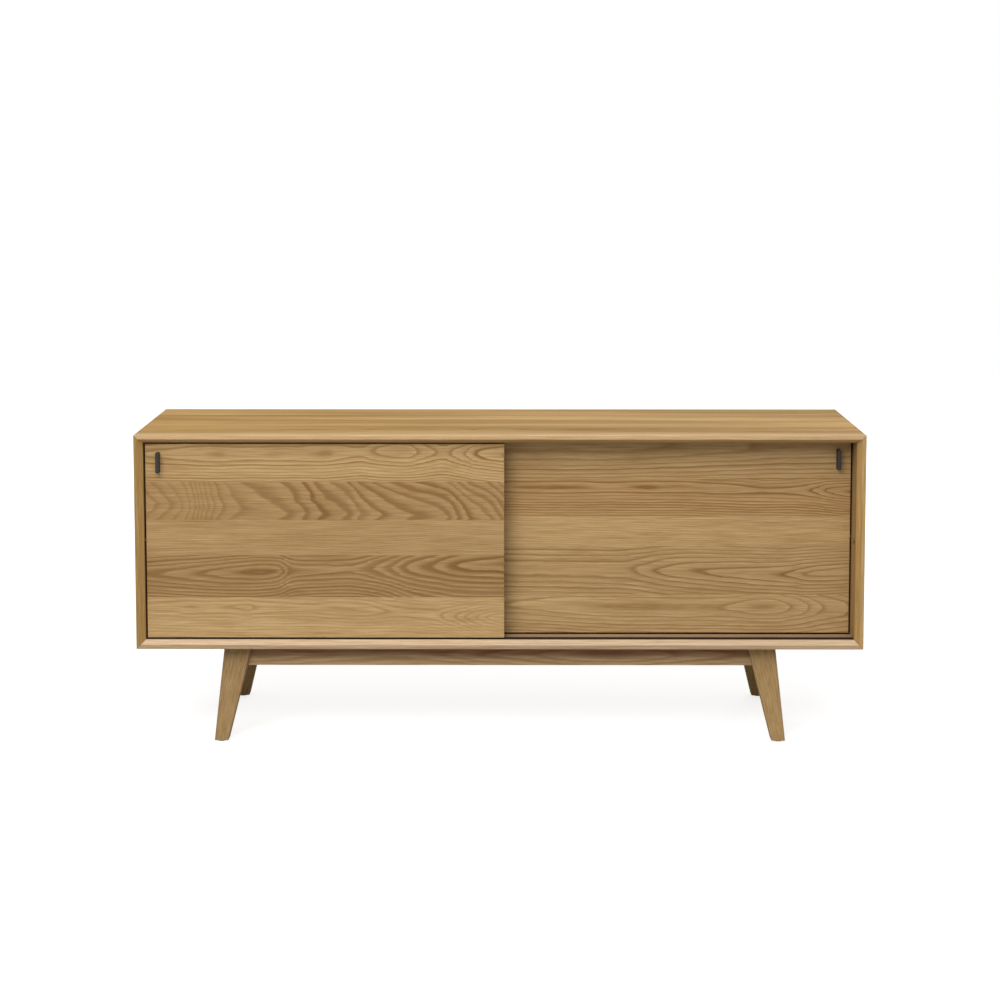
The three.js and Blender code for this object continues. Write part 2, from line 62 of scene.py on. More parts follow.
LEFT_DOOR_BOARDS = (
    Board(
        start=0.234,
        axis=((0.0, 0.303), (0.5, 0.3), (0.7, 0.292), (0.85, 0.283), (1.0, 0.278)),
        ring=0.005,
        heart=((0.0, 9.8), (0.08, 9.4), (0.12, 9.1), (0.16, 9.4), (0.21, 9.3), (0.25, 9.0),
               (0.28, 8.8), (0.3, 9.1), (0.35, 9.5), (0.45, 9.6), (0.51, 9.3), (0.56, 9.1),
               (0.61, 9.3), (0.66, 10.0), (0.7, 10.4), (0.8, 10.6), (0.83, 10.0), (0.87, 9.0),
               (0.9, 8.0), (0.93, 7.0), (0.97, 6.0), (1.0, 5.5)),
        strength=0.65,
        band=0.24,
        point=1.5, fade=0.7, tone="straw", light=0.98),
    Board(
        start=0.3247,
        axis=((0.0, 0.377), (0.1, 0.377), (0.3, 0.38), (0.4, 0.384), (0.55, 0.388), (0.733, 0.392),
              (1.0, 0.398)),
        ring=((0.0, 0.0058), (0.3, 0.0056), (0.63, 0.006), (0.8, 0.0084), (1.0, 0.0086)),
        heart=((0.0, 9.3), (0.045, 9.0), (0.12, 8.4), (0.2, 7.7), (0.254, 7.3), (0.307, 7.06),
               (0.358, 7.3), (0.38, 8.0), (0.398, 9.0), (0.415, 9.4), (0.5, 9.75), (0.56, 9.9),
               (0.6, 9.6), (0.633, 9.0), (0.685, 8.0), (0.733, 7.0), (0.807, 6.0), (0.871, 5.0),
               (1.0, 4.3)),
        strength=((0.0, 1.0), (0.55, 1.05), (0.65, 0.95), (1.0, 0.95)),
        band=((0.0, 0.3), (0.55, 0.3), (0.65, 0.45), (1.0, 0.45)),
        point=1.5, fade=0, tone="tan", light=0.94),
    Board(
        start=0.4187,
        axis=((0.0, 0.62), (0.5, 0.61), (1.0, 0.59)),
        ring=0.0036,
        heart=((0.0, 20.0), (0.3, 20.6), (0.6, 22.0), (1.0, 20.0)),
        strength=0.5,
        band=0.26,
        point=2, fade=0, tone="honey", light=0.95),
    Board(
        start=0.4975,
        axis=((0.0, 0.535), (0.2, 0.53), (0.39, 0.515), (0.56, 0.511), (0.735, 0.507), (0.85, 0.503),
              (1.0, 0.5)),
        ring=((0.0, 0.018), (0.3, 0.022), (0.65, 0.013), (1.0, 0.011)),
        heart=((0.0, 4.5), (0.065, 6.0), (0.1, 7.0), (0.212, 14.0), (0.265, 15.0), (0.389, 16.0),
               (0.443, 17.0), (0.485, 18.0), (0.564, 19.0), (0.598, 20.0), (0.657, 21.0),
               (0.738, 22.0), (0.84, 23.0), (0.871, 24.0), (0.902, 25.0), (0.955, 26.0), (0.987, 27.0),
               (1.0, 27.5)),
        strength=((0.0, 0.5), (0.22, 0.6), (0.32, 0.95), (0.75, 0.85), (1.0, 0.85)),
        band=((0.0, 0.2), (0.24, 0.22), (0.34, 0.35), (1.0, 0.34)),
        point=1.35, fade=0, tone="tan", light=0.95),
    Board(
        start=0.5824,
        axis=((0.0, 0.644), (0.3, 0.645), (0.5, 0.646), (0.72, 0.65), (1.0, 0.644)),
        ring=0.005,
        heart=((0.0, 9.9), (0.1, 9.45), (0.16, 9.25), (0.2, 9.12), (0.24, 9.3), (0.3, 9.4),
               (0.36, 9.25), (0.42, 9.35), (0.5, 9.12), (0.54, 9.4), (0.6, 9.8), (0.63, 9.2),
               (0.68, 8.6), (0.72, 8.4), (0.76, 9.0), (0.805, 10.0), (0.83, 10.4), (0.855, 10.0),
               (0.895, 9.0), (0.93, 8.0), (1.0, 7.2)),
        strength=1.15,
        band=0.16,
        point=1.7, fade=0, tone="straw", light=0.98),
)
# The right door's boards are partly their own tone and partly painted light: their lightness is set higher
# than the left door's to make up for the shade the rear door stands in, under the top and beside the front
# door
RIGHT_DOOR_BOARDS = (
    Board(
        start=0.234,
        axis=((0.0, 0.3), (0.1, 0.3), (0.3, 0.294), (0.6, 0.292), (0.76, 0.293), (0.9, 0.29),
              (1.0, 0.287)),
        ring=0.007,
        heart=((0.0, 5.3), (0.06, 5.12), (0.1, 5.0), (0.2, 4.5), (0.4, 4.2), (0.6, 4.2), (0.67, 4.0),
               (0.76, 3.2), (0.835, 4.0), (0.885, 5.0), (0.93, 6.0), (1.0, 7.0)),
        strength=1.1,
        band=0.12,
        point=1.9, fade=0, tone="straw", light=0.985),
    Board(
        start=0.3205,
        axis=((0.0, 0.38), (0.2, 0.379), (0.39, 0.377), (0.46, 0.376), (0.6, 0.3735), (0.82, 0.367),
              (0.9, 0.368), (1.0, 0.372)),
        ring=((0.0, 0.0075), (0.6, 0.0073), (1.0, 0.0063)),
        heart=((0.0, 7.6), (0.2, 7.5), (0.36, 7.35), (0.395, 7.0), (0.4625, 6.0), (0.54, 5.3),
               (0.6, 5.0), (0.78, 4.25), (0.82, 4.0), (0.897, 3.0), (1.0, 2.6)),
        strength=1.1,
        band=0.16,
        point=1.6, fade=0, tone="honey", light=0.98),
    Board(
        start=0.43,
        axis=((0.0, 0.62), (0.5, 0.6), (1.0, 0.62)),
        ring=0.0045,
        heart=((0.0, 16.0), (0.35, 19.0), (0.7, 17.0), (1.0, 20.0)),
        strength=0.3,
        band=0.25,
        point=2, fade=0, tone="honey", light=1.05),
    Board(
        start=0.497,
        axis=((0.0, 0.562), (0.45, 0.5625), (0.6, 0.56), (0.7, 0.557), (0.77, 0.555), (0.9, 0.556),
              (1.0, 0.553)),
        ring=0.0052,
        heart=((0.0, 4.6), (0.07, 4.32), (0.15, 4.15), (0.26, 4.32), (0.33, 4.45), (0.39, 4.32),
               (0.435, 4.2), (0.48, 4.32), (0.6, 4.5), (0.7, 4.75), (0.77, 4.97), (0.82, 4.85),
               (0.9, 4.0), (0.94, 3.0), (1.0, 2.2)),
        strength=1.1,
        band=0.2,
        point=1.7, fade=0, tone="tan", light=1.12),
    Board(
        start=0.581,
        axis=((0.0, 0.662), (1.0, 0.66)),
        ring=0.0065,
        heart=((0.0, 10.8), (0.3, 10.7), (0.5, 11.3), (0.62, 11.8), (0.7, 12.05), (0.77, 12.3),
               (1.0, 12.4)),
        strength=1.0,
        band=0.16,
        point=2, fade=0, tone="honey", light=1.06),
)

# The boards of each leg and rail, whose place and lightness are filled in node by node
LEG_BOARD = Board(start=0.0, axis=0.9, ring=0.004, heart=(9.0, 6.0), strength=0.4, point=2.0, band=0.25,
                  fade=0.0, tone="honey", light=1.0)
RAIL_BOARD = Board(start=0.0, axis=0.0, ring=0.007, heart=(5.0, 9.0), strength=0.65, point=1.5, band=0.3,
                   fade=0.0, tone="umber", light=0.95)

# How light each leg is, with painted shade: the front left leg, lit most by the key light, and the rear legs,
# which stand in shade, are painted darker. Then how far their grain leans, and the axes along, across and
# through each rail
LEG_LIGHTS_AND_PAINTED_SHADE = {"front_left_leg": 0.8, "front_right_leg": 0.92, "rear_left_leg": 0.86, "rear_right_leg": 0.86}
LEG_LEAN = 0.18
RAIL_GRAINS = {"front_rail": "xzy", "rear_rail": "xzy", "left_rail": "yzx", "right_rail": "yzx"}

# Seeds of the first leg and the first rail; each next one has the next number
LEG_SEED = 41
RAIL_SEED = 45

# A case wall besides the top: its node, its grain, how light its boards are, its seed, and the tone and
# lightness of its flat front face, of its bevel and of the board behind them. The lightness of the face and of
# the bevel paints the light that falls on each: the bottom's bevel, which faces up, is painted lighter, partly
# paler wood and partly a painted highlight, and its flat front face darker, a painted shade; the left side's
# face and bevel, of one tone, are painted lighter or darker as the light falls on each.
Wall = namedtuple("Wall", "node grain light seed front bevel inner")
WALLS = (
    Wall("bottom_panel", grain="xyz", light=0.9, seed=12,
         front=("blush", 0.82), bevel=("bloom", 1.14), inner=("blush", 0.61)),
    Wall("left_side_panel", grain="zyx", light=0.92, seed=13,
         front=("gold", 0.79), bevel=("gold", 1.05), inner=("tan", 0.93)),
    Wall("right_side_panel", grain="zyx", light=0.85, seed=14,
         front=("honey", 1.09), bevel=("gold", 1.07), inner=("honey", 0.83)),
)

# How deep the oak of each case wall's flat front face goes, how deep that of its bevel goes, and how far in
# front of the wall the line lies that the rings of both close around
FRONT_SKIN = 0.0003
EDGE_STRIP = 0.016
EDGE_AXIS_AHEAD = 0.1

# Width of the pale strip along the front of the top and along the foot of each rail, how fast the latter grows
# pale, how the top's seams tilt, and how dark the broad streaks of the top and of the other walls are. The
# top's strip is partly pale wood and partly painted light on its front edge. Each rail's strip is partly pale
# wood and partly painted shade, which leaves the rail darker above it, where the case shades it.
TOP_SAPWOOD_AND_PAINTED_LIGHT = 0.06
RAIL_SAPWOOD_AND_PAINTED_SHADE = 0.028
RAIL_SAPWOOD_AND_PAINTED_SHADE_SHARPNESS = 1.7
TOP_SLANT = 1.6
TOP_STREAKS = 0.9
WALL_STREAKS = 0.3

# Ranges that the boards without a table are drawn from. A quiet board is sawn far from the heart of the tree.
# The shifts of seams and of lively boards are shares of a board's width. The shifts of quiet boards, the
# drifts and the ring widths are metres.
QUIET_SHARE = 0.4
SEAM_SHIFTS = (-0.08, 0.08)
QUIET_SHIFTS = (0.08, 0.2)
LIVELY_SHIFTS = (-0.3, 0.3)
AXIS_DRIFTS = (-0.03, 0.03)
RING_WIDTHS = (0.0045, 0.007)
HEART_RINGS = (7.0, 12.0)
HEART_SPREADS = (8.0, 16.0)
QUIET_STRENGTHS = (0.5, 0.8)
LIVELY_STRENGTHS = (0.8, 1.3)
ARCH_POINTS = (1.5, 2.0)
BAND_SHARES = (0.16, 0.24)
LIGHT_FACTORS = (0.95, 1.05)
PLAIN_FADE = 0.2

# Streaks in the oak: how many there are to the metre along the grain and across it, and the detail and
# roughness of their noise
Streaks = namedtuple("Streaks", "along across detail roughness")
HAIRS = Streaks(22.0, 460.0, 3.0, 0.7)
THREADS = Streaks(9.0, 280.0, 2.0, 0.6)
STRIPES = Streaks(1.4, 70.0, 2.0, 0.6)
CLOUDS = Streaks(2.2, 9.0, 2.0, 0.6)
LONG_SWAY = Streaks(3.0, 17.0, 3.0, 0.55)
SHORT_SWAY = Streaks(12.0, 55.0, 2.0, 0.5)
PORES = Streaks(60.0, 1500.0, 1.0, 0.6)
BROAD_STREAKS = Streaks(0.9, 13.0, 1.0, 0.6)

# How the rings run: how far apart the boards lie in the noise, how far the hairs draw an edge along the
# grain, how often to the metre the heart of a board without a table swells, how far apart those hearts lie in
# their noise, and by how many rings the sways and the unevenness move a ring
NOISE_STEP = 3.7
HAIR_DRAW = 0.016
HEART_RATE = 1.1
HEART_STEP = 5.3
LONG_SWAY_RINGS = 0.9
SHORT_SWAY_RINGS = 0.5
UNEVEN_RATE = 0.9
UNEVEN_RINGS = 0.3

# The dark band of a ring: how steeply it starts and ends, how dark it and the slow tail behind it are, the
# least weight of a ring and how much more the heaviest has, its weight where nothing breaks it, how much the
# threads and hairs break it, and how far from the axis the board's fade is complete
BAND_RISE = 6.5
BAND_FALL = 3.5
BAND_WEIGHT = 0.6
TAIL_WEIGHT = 0.5
LEAST_RING_WEIGHT = 0.6
RING_WEIGHT_SPREAD = 0.5
UNBROKEN_WEIGHT = 0.95
THREAD_BREAK = 1.2
HAIR_BREAK = 0.6
FADE_DISTANCE = 0.04

# Open pores: how strong the noise is where they begin, how sharp they are, and how many of them the band has
# beyond those that lie everywhere
PORE_THRESHOLD = 0.06
PORE_SHARPNESS = 6.0
BAND_PORES = 0.7
PORES_EVERYWHERE = 0.3

# How much each kind of streak lightens or darkens the oak, and how dark the bands and the pores make it
HAIR_SHADE = 0.55
THREAD_SHADE = 0.8
STRIPE_SHADE = 0.2
CLOUD_SHADE = 0.18
BAND_DARKNESS = 0.8
PORE_DARKNESS = 0.16

# White, which as a tint changes nothing
WHITE = (1.0, 1.0, 1.0)

# Tints that multiply the oak in the broad streaks and where it is dark, with the contrast and the middle
# level of each. Then how far the edge of the pale strip wanders, and how much lightness the strip loses; the
# strip is partly pale wood and partly painted light and shade.
STREAK_TINT = (0.52, 0.46, 0.25)
STREAK_CONTRAST = 2.6
STREAK_LEVEL = 0.45
RED_TINT = (1.03, 0.94, 0.82)
RED_CONTRAST = 3.0
RED_LEVEL = 0.3
PALE_STRIP_WANDER = 0.03
PALE_STRIP_DIMMING = 0.08

# The oak's surface: its roughness, what the bands add to it, its gloss, the height of its relief in metres,
# and how much of that the hairs have
OAK_ROUGHNESS = 0.66
BAND_ROUGHNESS = 0.06
OAK_SPECULAR = 0.03
OAK_RELIEF = 0.0001
HAIR_RELIEF = 0.5

# A noise in the finish of a fitting: its spots to the metre along X, Y and Z, its detail, how much it lightens
# or darkens the colour, and how much it adds to the roughness. With a sharpness, only what lies above the
# threshold counts.
Mottle = namedtuple("Mottle", "rates detail shade rough threshold sharpness", defaults=(0.0, 0.0, 0.0))

# The gloss of plastic and of coated steel, and that of matt rubber
SATIN = {"Specular IOR Level": 0.4}
MATT = {"Specular IOR Level": 0.3}

# A screw head is a grid of rings and turns. The half width and the reach of its cross, with the width of
# their sloping edges, are shares of its radius. The cross's depth is a share of its height.
SCREW_RINGS = 10
SCREW_TURNS = 32
CROWN_FALL = 0.85
CROSS_HALF_WIDTH = 0.14
CROSS_SIDE_EDGE = 0.06
CROSS_REACH = 0.62
CROSS_END_EDGE = 0.12
CROSS_DEPTH = 0.7

# The screws of the back and of the rails: sizes, distances, and how far a head sinks into its seat. Then how
# near to each other the points lie that are welded, and from which angle on an edge is sharp.
BACK_SCREW_RADIUS = 0.003
BACK_SCREW_HEIGHT = 0.0016
BACK_SCREW_EDGE = 0.0045
BACK_SCREW_PITCH = 0.22
RAIL_SCREW_RADIUS = 0.004
RAIL_SCREW_HEIGHT = 0.0006
RAIL_SCREW_SPACING = 0.36
SCREW_SINK = 0.0002
WELD_DISTANCE = 1e-6
SHARP_ANGLE = math.radians(35.0)

# The floor: its size, its own grey, how far from the middle it begins to turn white, and how much further
# out it is fully white
FLOOR_SIZE = 14.0
FLOOR_GREY = (0.5, 0.5, 0.5)
FLOOR_WHITE_START = 1.2
FLOOR_WHITE_WIDTH = 2.5

# The lights, and the power of the one behind as a share of the key light's
Light = namedtuple("Light", "name place target size")
KEY_LIGHT = Light("key_light", place=(-1.1, -3.5, 2.8), target=(0.0, -0.2, 0.4), size=(2.8, 1.8))
TOP_LIGHT = Light("top_light", place=(0.0, -1.6, 3.2), target=(0.0, -0.1, 0.5), size=(3.0, 1.6))
REAR_LIGHT = Light("rear_light", place=(0.8, 3.6, 2.2), target=(0.0, 0.2, 0.4), size=(2.6, 1.6))
REAR_POWER_SHARE = 0.4

# Width of the camera's sensor in millimetres
SENSOR_WIDTH = 36.0

# Sockets of a mix node, for numbers and for colours: its first and second input, and its output
MIX_SOCKETS = {"FLOAT": (2, 3, 0), "RGBA": (6, 7, 2)}


def linear(colour):
    """A shown colour as the light that it stands for: the sRGB curve undone."""
    return tuple(c / 12.92 if c <= 0.04045 else ((c + 0.055) / 1.055) ** 2.4 for c in colour)


class Value:
    """What a shader node gives at each point. Where that is a number, formulas use the usual signs."""

    def __init__(self, graph, socket):
        self.graph = graph
        self.socket = socket

    def __add__(self, other):
        return self.graph.maths("ADD", self, other)

    def __sub__(self, other):
        return self.graph.maths("SUBTRACT", self, other)

    def __rsub__(self, other):
        return self.graph.maths("SUBTRACT", other, self)

    def __mul__(self, other):
        return self.graph.maths("MULTIPLY", self, other)

    def __truediv__(self, other):
        return self.graph.maths("DIVIDE", self, other)

    def __rtruediv__(self, other):
        return self.graph.maths("DIVIDE", other, self)

    def __pow__(self, other):
        return self.graph.maths("POWER", self, other)

    __rmul__ = __mul__


class Graph:
    """The shader nodes of one material or world, built from formulas."""

    def __init__(self, owner):
        self.owner = owner
        self.owner.use_nodes = True
        self.tree = self.owner.node_tree
        self.tree.nodes.clear()

    def plug(self, socket, value):
        if isinstance(value, Value):
            self.tree.links.new(value.socket, socket)
        elif socket.type == "RGBA":
            socket.default_value = (*value, 1.0)
        else:
            socket.default_value = value

    def node(self, kind, inputs=None, **settings):
        made = self.tree.nodes.new(kind)
        for name, value in settings.items():
            setattr(made, name, value)
        for key, value in (inputs or {}).items():
            self.plug(made.inputs[key], value)
        return made

    def value(self, kind, inputs=None, output=0, **settings):
        """An output of a new node."""
        return Value(self, self.node(kind, inputs, **settings).outputs[output])

    def maths(self, operation, *values, clamp=False):
        return self.value("ShaderNodeMath", dict(enumerate(values)), operation=operation, use_clamp=clamp)

    def clamped(self, value):
        return self.maths("ADD", value, 0.0, clamp=True)

    def mix(self, share, first, second, kind="FLOAT"):
        """first where share is 0, second where it is 1."""
        low, high, output = MIX_SOCKETS[kind]
        return self.value("ShaderNodeMix", {0: share, low: first, high: second}, output, data_type=kind)

    def tint(self, colour, factor):
        """A colour times a number or another colour."""
        return self.value("ShaderNodeVectorMath", {0: colour, 1: factor}, operation="MULTIPLY")

    def point(self, x, y, z):
        return self.value("ShaderNodeCombineXYZ", {0: x, 1: y, 2: z})

    def axes(self):
        """The object's own X, Y and Z."""
        split = self.node("ShaderNodeSeparateXYZ", {0: self.value("ShaderNodeTexCoord", output="Object")})
        return {letter: Value(self, split.outputs[letter.upper()]) for letter in "xyz"}

    def noise(self, place, detail=2.0, roughness=0.5):
        """Soft noise from about -0.5 to 0.5; place is a vector, or a number for noise along one line."""
        key, dimensions = ("W", "1D") if place.socket.type == "VALUE" else ("Vector", "3D")
        inputs = {key: place, "Scale": 1.0, "Detail": detail, "Roughness": roughness}
        return self.value("ShaderNodeTexNoise", inputs, noise_dimensions=dimensions) - 0.5

    def above(self, value, threshold, sharpness):
        """0 where value is below the threshold; from there on it rises to 1."""
        return self.clamped((value - threshold) * sharpness)

    def mottle(self, kind):
        """The noise of a Mottle in the object's own space."""
        place = [axis * rate for axis, rate in zip(self.axes().values(), kind.rates)]
        noise = self.noise(self.point(*place), kind.detail)
        return self.above(noise, kind.threshold, kind.sharpness) if kind.sharpness else noise

    def seen_directly(self):
        """1 for rays from the camera and those that a gloss or a glass sends on, otherwise 0."""
        path = self.node("ShaderNodeLightPath")
        camera, gloss, glass = (Value(self, path.outputs[name])
                                for name in ("Is Camera Ray", "Is Glossy Ray", "Is Transmission Ray"))
        return self.maths("MAXIMUM", self.maths("MAXIMUM", camera, gloss), glass)

    def curve(self, share, points):
        """A smooth curve through (share, value) points, which doesn't pass beyond their values."""
        top = max(value for where, value in points)
        made = self.node("ShaderNodeFloatCurve", {"Value": share})
        line = made.mapping.curves[0]
        line.points[0].location = (points[0][0], points[0][1] / top)
        line.points[1].location = (points[-1][0], points[-1][1] / top)
        for where, value in points[1:-1]:
            line.points.new(where, value / top)
        for point in line.points:
            point.handle_type = "AUTO_CLAMPED"
        made.mapping.update()
        return Value(self, made.outputs[0]) * top

    def finish(self, colour, roughness, height, relief, constants):
        """Ends the material in a Principled surface. height times relief is its bump in metres, and constants
        are values for its other sockets."""
        normal = self.value("ShaderNodeBump", {"Height": height, "Distance": relief})
        inputs = {"Base Color": colour, "Roughness": roughness, "Normal": normal, **constants}
        surface = self.value("ShaderNodeBsdfPrincipled", inputs)
        self.node("ShaderNodeOutputMaterial", {"Surface": surface})
        return self.owner


def plain_boards(low, high, count, seed, tones, strength=0.6, light=1.0):
    """Boards of about one width from low to high, each cut from another part of the tree."""
    dice = random.Random(seed)
    width = (high - low) / count
    boards = []
    for i in range(count):
        start = low + (high - low) * (i + (dice.uniform(*SEAM_SHIFTS) if i else 0.0)) / count
        quiet = dice.random() < QUIET_SHARE
        away = dice.uniform(*QUIET_SHIFTS) if quiet else dice.uniform(*LIVELY_SHIFTS) * width
        middle = start + width / 2 + away
        boards.append(Board(
            start=start,
            axis=((0.0, middle), (1.0, middle + dice.uniform(*AXIS_DRIFTS))),
            ring=dice.uniform(*RING_WIDTHS),
            heart=(dice.uniform(*HEART_RINGS), dice.uniform(*HEART_SPREADS)),
            strength=strength * dice.uniform(*(QUIET_STRENGTHS if quiet else LIVELY_STRENGTHS)),
            point=dice.uniform(*ARCH_POINTS),
            band=dice.uniform(*BAND_SHARES),
            fade=PLAIN_FADE,
            tone=tones[dice.randrange(len(tones))],
            light=light * dice.uniform(*LIGHT_FACTORS),
        ))
    return tuple(boards)


def oak(name, settings, grain, box, boards, seed, lean=0.0, slant=0.0, sapwood_and_painted_light=0.0, sharpness=1.0,
        streaked=0.0):
    """Figured oak. grain names the axes along, across and through the boards, such as "xzy".

    The rings are nested round the heart of the tree: at a point, the ring number is the distance from the
    board's axis combined with the depth of the heart, both counted in rings, as the sides of a right-angled
    triangle are when point is 2. The depth changes along the board, which gives the arches and eyes of a sawn
    face. Each ring starts with a dark band of open pores, whose edge the fibres draw out along the board.

    lean turns the grain towards the across axis, and slant tilts the seams between the boards.
    sapwood_and_painted_light is the width of the pale strip at the low edge, sharpness how fast it grows to
    full paleness (with 1, only at the very edge), and streaked how dark the broad streaks of the heartwood
    are. The pale strip is partly pale wood and partly painted light: it lights the top's front edge, and
    leaves a rail darker above its foot as painted shade."""
    graph = Graph(bpy.data.materials.new(name))
    axes = graph.axes()
    along, across, through = (axes[letter] for letter in grain)
    low, high = ({"x": corner.x, "y": corner.y, "z": corner.z} for corner in box)
    if lean:
        across = across - along * lean
    if slant:
        across = across + (high[grain[2]] - through) * slant
    masks = [graph.maths("GREATER_THAN", across, board.start) for board in boards[1:]]

    def chosen(values, kind="FLOAT"):
        result = values[0]
        for mask, value in zip(masks, values[1:]):
            result = graph.mix(mask, result, value, kind)
        return result

    offset = chosen([float(i) for i in range(len(boards))]) * NOISE_STEP + float(seed)

    def streaks(kind):
        place = graph.point(along * kind.along + offset, across * kind.across, through * kind.across)
        return graph.noise(place, kind.detail, kind.roughness)

    hairs = streaks(HAIRS)
    threads = streaks(THREADS)
    cloud = streaks(CLOUDS)
    drawn = along + hairs * HAIR_DRAW
    share = (drawn - low[grain[0]]) / (high[grain[0]] - low[grain[0]])

    def measure(name):
        values = [getattr(board, name) for board in boards]
        return chosen([graph.curve(share, value) if isinstance(value, tuple) else value for value in values])

    def heart(i, board):
        if len(board.heart) > 2:
            return graph.curve(share, board.heart)
        rings, spread = board.heart
        return graph.noise(drawn * HEART_RATE + (seed + i * HEART_STEP), detail=1.0) * spread + rings

    ring = measure("ring")
    depth = chosen([heart(i, board) for i, board in enumerate(boards)]) + (through - low[grain[2]]) / ring
    aside = across - measure("axis")
    point = measure("point")
    sides = graph.maths("ABSOLUTE", aside / ring) ** point + graph.maths("ABSOLUTE", depth) ** point
    sway = streaks(LONG_SWAY) * LONG_SWAY_RINGS + streaks(SHORT_SWAY) * SHORT_SWAY_RINGS
    rings = sides ** (1.0 / point) + sway
    uneven = rings + graph.noise(rings * UNEVEN_RATE + offset, detail=0.0) * UNEVEN_RINGS
    phase = graph.maths("FRACT", uneven)
    count = graph.maths("FLOOR", uneven)

    start = graph.clamped(phase * BAND_RISE)
    end = graph.clamped((measure("band") - phase) * BAND_FALL + 1.0)
    chance = graph.value("ShaderNodeTexWhiteNoise", {"W": count + offset}, "Value", noise_dimensions="1D")
    weight = chance * RING_WEIGHT_SPREAD + LEAST_RING_WEIGHT
    broken = threads * THREAD_BREAK + hairs * HAIR_BREAK + UNBROKEN_WEIGHT
    line = start * (end * BAND_WEIGHT + (1.0 - phase) * TAIL_WEIGHT) * weight * broken
    outward = graph.clamped(graph.maths("ABSOLUTE", aside) / FADE_DISTANCE)
    strength = measure("strength") * (1.0 - outward * measure("fade"))
    open_pores = graph.above(streaks(PORES), PORE_THRESHOLD, PORE_SHARPNESS)
    pores = open_pores * (start * end * BAND_PORES + PORES_EVERYWHERE)
    dark = graph.clamped(line * strength * BAND_DARKNESS + pores * PORE_DARKNESS)

    tones = {tone: linear(getattr(settings, tone)) for tone in OakSettings.__annotations__}
    base = chosen([tones[board.tone] for board in boards], "RGBA")
    light = measure("light")
    fine_shade = hairs * HAIR_SHADE + threads * THREAD_SHADE
    shade = fine_shade + streaks(STRIPES) * STRIPE_SHADE + cloud * CLOUD_SHADE
    pale = 0.0
    # The pale strip: partly pale wood, partly painted light on the top's front edge and painted shade above a
    # rail's foot
    if sapwood_and_painted_light:
        inward = across - low[grain[1]] + cloud * PALE_STRIP_WANDER
        pale = graph.clamped((1.0 - inward / sapwood_and_painted_light) * sharpness)
        base = graph.mix(pale, base, tones["cream"], "RGBA")
        light = light * (1.0 - pale * PALE_STRIP_DIMMING)
    if streaked:
        broad = graph.clamped(streaks(BROAD_STREAKS) * STREAK_CONTRAST + STREAK_LEVEL)
        base = graph.tint(base, graph.mix(broad * (1.0 - pale) * streaked, WHITE, STREAK_TINT, "RGBA"))
    red = graph.clamped(RED_LEVEL - shade * RED_CONTRAST)
    base = graph.tint(base, graph.mix(red, WHITE, RED_TINT, "RGBA"))
    base = graph.tint(base, light * (shade + 1.0))
    colour = graph.mix(dark, base, graph.tint(base, linear(settings.grain)), "RGBA")
    roughness = line * BAND_ROUGHNESS + OAK_ROUGHNESS
    height = hairs * HAIR_RELIEF - pores
    return graph.finish(colour, roughness, height, OAK_RELIEF, {"Specular IOR Level": OAK_SPECULAR})


def mottled(name, colour, kinds, roughness, relief, constants):
    """A finish in one colour with mottles in it, of which the first is also its relief."""
    graph = Graph(bpy.data.materials.new(name))
    noises = [graph.mottle(kind) for kind in kinds]
    shade = 1.0
    for noise, kind in zip(noises, kinds):
        shade = noise * kind.shade + shade
        if kind.rough:
            roughness = noise * kind.rough + roughness
    return graph.finish(graph.tint(linear(colour), shade), roughness, noises[0], relief, constants)


def coated_steel(name, colour):
    """A powder coat: a fine orange peel and a dusting of lighter specks."""
    peel = Mottle(rates=(900.0,) * 3, detail=2.0, shade=0.5, rough=0.2)
    specks = Mottle(rates=(2700.0,) * 3, detail=1.0, shade=0.6, threshold=0.12, sharpness=6.0)
    return mottled(name, colour, (peel, specks), roughness=0.5, relief=0.00005, constants=SATIN)


def plated_steel(name, colour):
    """Zinc plate: cloudy, with fine marks across the Y axis."""
    marks = Mottle(rates=(300.0, 2500.0, 300.0), detail=3.0, shade=0.25)
    bloom = Mottle(rates=(260.0,) * 3, detail=2.0, shade=0.3, rough=0.2)
    return mottled(name, colour, (marks, bloom), roughness=0.34, relief=0.00002, constants={"Metallic": 0.9})


def extruded_plastic(name, colour, grain):
    """Plastic with faint die lines along the axis that grain names."""
    rates = [2.0 if letter == grain else 1600.0 for letter in "xyz"]
    lines = Mottle(rates, detail=2.0, shade=0.3)
    dust = Mottle(rates=(120.0,) * 3, detail=3.0, shade=0.35, rough=0.2)
    return mottled(name, colour, (lines, dust), roughness=0.45, relief=0.00003, constants=SATIN)


def moulded_nylon(name, colour):
    """Black nylon: faintly cloudy, with a soft sheen."""
    clouds = Mottle(rates=(350.0,) * 3, detail=3.0, shade=0.3, rough=0.15)
    return mottled(name, colour, (clouds,), roughness=0.38, relief=0.00003, constants=SATIN)


def amber_rubber(name, colour):
    """Hazy amber rubber with a soft glow under the surface."""
    haze = Mottle(rates=(260.0,) * 3, detail=2.0, shade=0.25, rough=0.1)
    glow = {"Subsurface Weight": 0.3, "Subsurface Scale": 0.003}
    return mottled(name, colour, (haze,), roughness=0.3, relief=0.00003, constants={**glow, **SATIN})


def rubber(name, colour):
    """Black rubber with a fine matt grain and a little dust."""
    grit = Mottle(rates=(1100.0,) * 3, detail=3.0, shade=0.6)
    dust = Mottle(rates=(90.0,) * 3, detail=2.0, shade=0.9, threshold=-0.2, sharpness=1.0)
    return mottled(name, colour, (grit, dust), roughness=0.75, relief=0.00006, constants=MATT)


def nodes_ending(*endings):
    return [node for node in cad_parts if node.endswith(endings)]


def paint(material, *nodes):
    for node in nodes:
        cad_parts[node].material_slots[0].material = material


